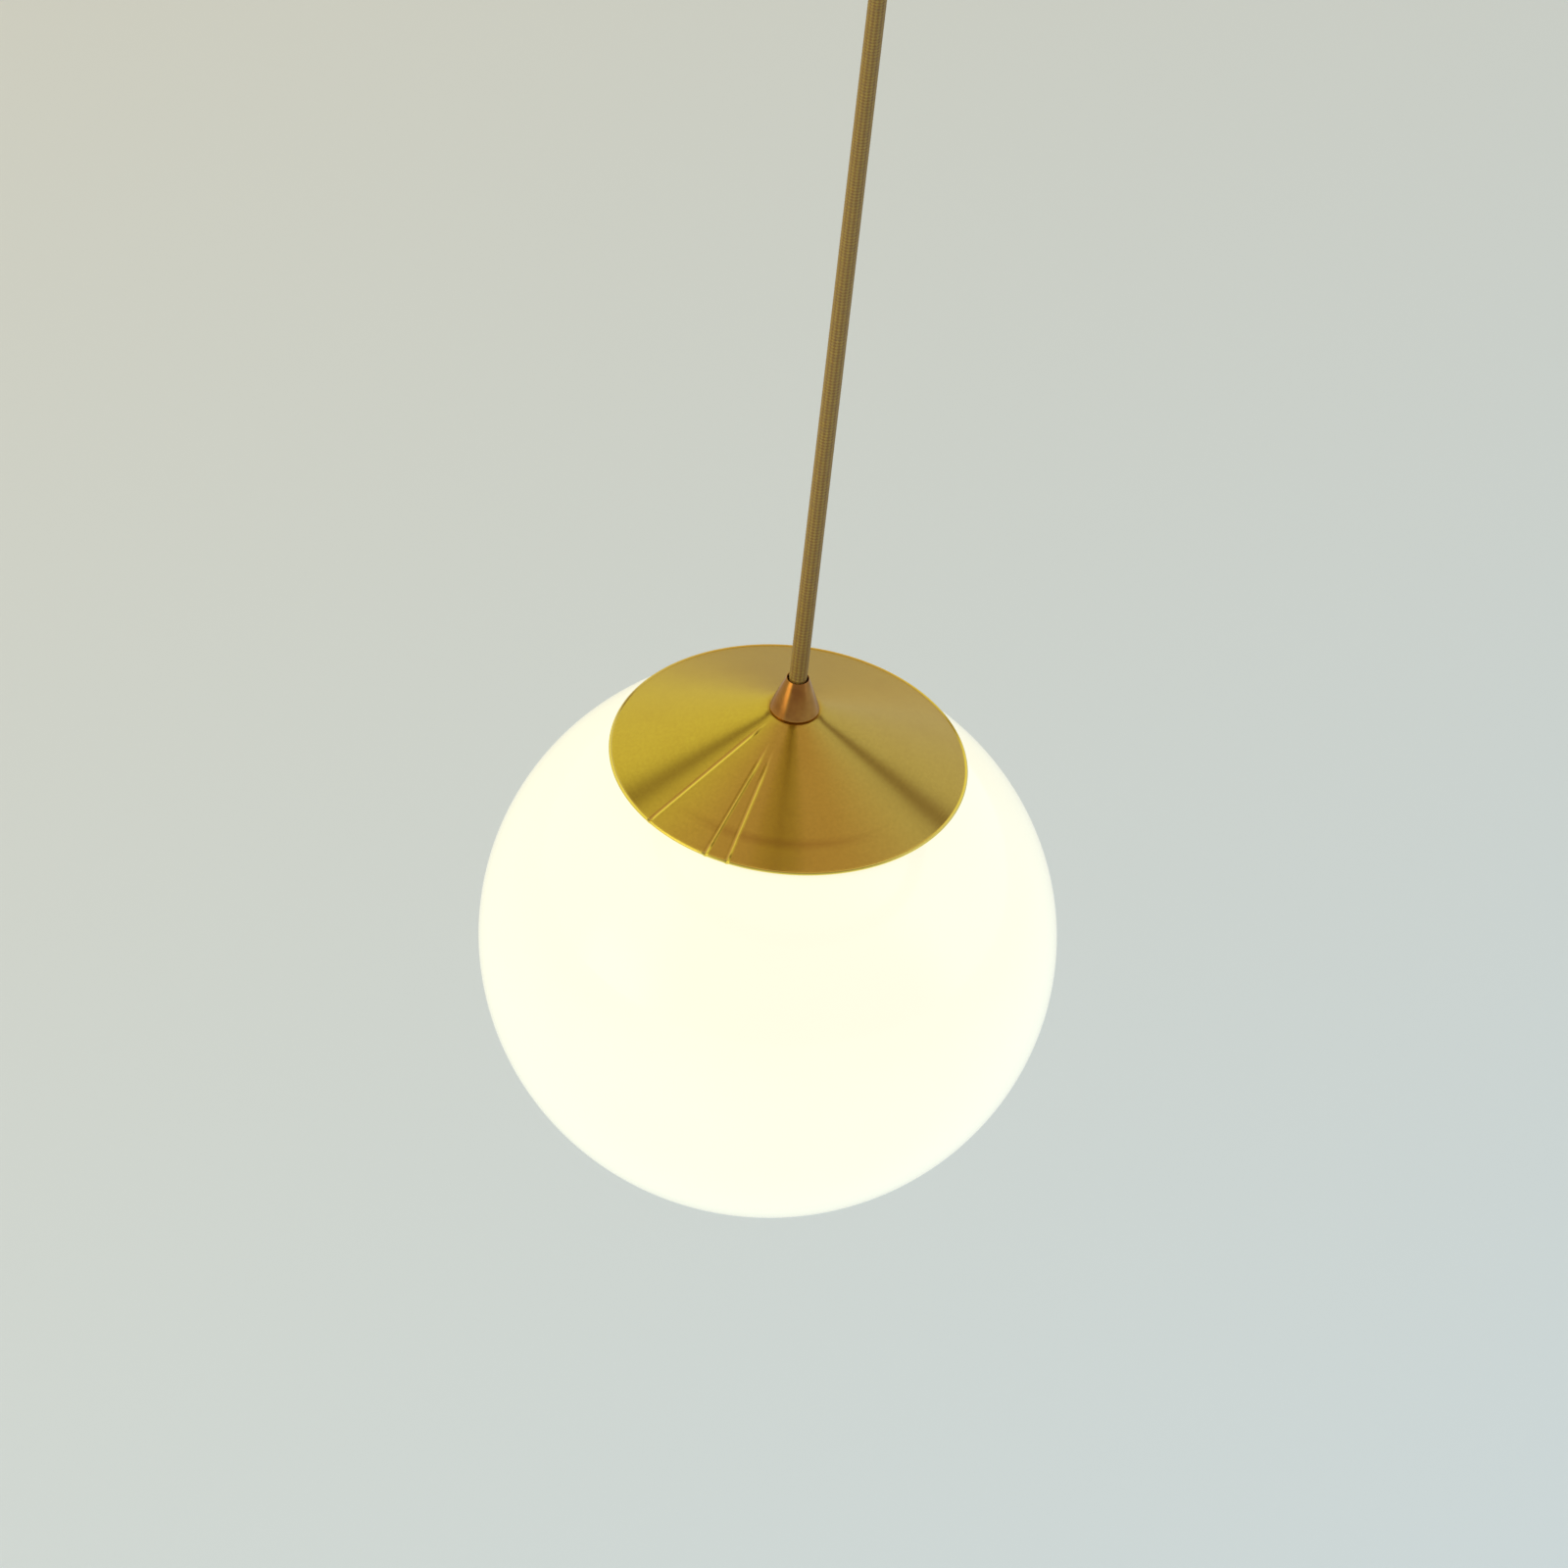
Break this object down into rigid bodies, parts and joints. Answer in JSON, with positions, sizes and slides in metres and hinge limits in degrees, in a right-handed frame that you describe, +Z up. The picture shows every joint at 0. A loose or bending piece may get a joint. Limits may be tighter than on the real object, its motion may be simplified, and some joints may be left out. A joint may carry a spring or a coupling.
{
  "type": "pendant ceiling light",
  "caption": "Pendant light: opal glass globe under a shallow brass cap, hung on a textile cord from a brass ceiling canopy, with its lampholder and bulb inside.",
  "frame": {"origin": "on the ceiling, at the middle of the bracket's top face, midway between its two screw slots", "axes": "+Z up, away from the lamp; +X along the bracket, through both screw slots"},
  "size_m": [0.2, 0.1998, 0.586],
  "materials": {
    "satin_brass": "spun, circular-brushed satin",
    "copper_bronze": "turned, polished and lacquered copper-brown",
    "textile_cord": "braided satin rayon",
    "opal_glass": "smooth flashed opal",
    "silicone": "soft, translucent",
    "zinc_steel": "zinc plated",
    "spring_steel": "blued spring strip",
    "contact_brass": "bright",
    "nickel_shell": "nickel plated",
    "black_phenolic": "moulded",
    "black_glass": "fused",
    "steatite": "unglazed",
    "white_plastic": "moulded",
    "bulb_opal": "frosted",
    "board_white": "solder mask",
    "board_green": "solder mask",
    "brown_wire": "smooth",
    "blue_wire": "smooth",
    "earth_wire": "smooth, green and yellow"
  },
  "bodies": {
    "ceiling_mount": {"ceiling_bracket": "zinc_steel", "ceiling_canopy": "satin_brass", "canopy_side_screws": "satin_brass", "earth_screw": "zinc_steel", "terminal_block": "white_plastic", "terminal_sleeves": "contact_brass", "terminal_screws": "zinc_steel", "terminal_block_screw": "zinc_steel", "canopy_nipple": "zinc_steel", "canopy_washer": "zinc_steel", "canopy_nut": "zinc_steel", "canopy_cord_grip": "copper_bronze", "canopy_grip_screw": "zinc_steel", "canopy_wire_brown": "brown_wire", "canopy_wire_blue": "blue_wire", "canopy_wire_earth": "earth_wire", "cord_canopy_end": "textile_cord"},
    "cord_neck_top": {"cord_neck_top": "textile_cord"},
    "cord": {"cord": "textile_cord"},
    "cord_neck_bottom": {"cord_neck_bottom": "textile_cord"},
    "lamp_head": {"cord_lamp_end": "textile_cord", "lamp_cord_grip": "copper_bronze", "lamp_grip_screw": "zinc_steel", "brass_cap": "satin_brass", "cap_washer": "zinc_steel", "cap_nut": "contact_brass", "lamp_nipple": "contact_brass", "gallery_plate": "zinc_steel", "gallery_nut": "contact_brass", "leaf_spring_1": "spring_steel", "leaf_spring_2": "spring_steel", "leaf_spring_3": "spring_steel", "spring_rivets": "zinc_steel", "holder_cap": "black_phenolic", "holder_body": "black_phenolic", "holder_insulator": "steatite", "holder_thread_shell": "contact_brass", "centre_contact": "contact_brass", "holder_terminal_screws": "contact_brass", "lamp_wire_brown": "brown_wire", "lamp_wire_blue": "blue_wire", "lamp_wire_earth": "earth_wire"},
    "globe": {"glass_globe": "opal_glass", "rim_gasket": "silicone"},
    "bulb": {"bulb_base_shell": "nickel_shell", "bulb_insulator": "black_glass", "bulb_contact": "nickel_shell", "bulb_collar": "white_plastic", "bulb_led_board": "board_white", "bulb_driver_board": "board_green", "bulb_envelope": "bulb_opal"}
  },
  "joints": [
    {"name": "swing_side", "type": "hinge", "parent": "ceiling_mount", "child": "cord_neck_top", "pos_m": [0, 0, -0.0465], "axis": [0, 1, 0], "range_deg": [-30, 30], "deforming": ["cord_neck_top"]},
    {"name": "swing_front", "type": "hinge", "parent": "cord_neck_top", "child": "cord", "pos_m": [0, 0, -0.0465], "axis": [1, 0, 0], "range_deg": [-30, 30], "deforming": ["cord_neck_top"]},
    {"name": "cord_twist", "type": "hinge", "parent": "cord", "child": "cord_neck_bottom", "pos_m": [0, 0, -0.37515], "axis": [0, 0, 1], "range_deg": [-180, 180], "stiffness_Nm_per_rad": 0.01},
    {"name": "head_tilt", "type": "hinge", "parent": "cord_neck_bottom", "child": "lamp_head", "pos_m": [0, 0, -0.37515], "axis": [1, 0, 0], "range_deg": [-12, 12], "deforming": ["cord_neck_bottom"]},
    {"name": "globe_lift", "type": "slide", "parent": "lamp_head", "child": "globe", "axis": [0, 0, -1], "range_m": [0, 0.16], "deforming": ["leaf_spring_1", "leaf_spring_2", "leaf_spring_3"]},
    {"name": "bulb_out", "type": "slide", "parent": "lamp_head", "child": "bulb", "axis": [0, 0, -1], "range_m": [0, 0.03]}
  ]
}
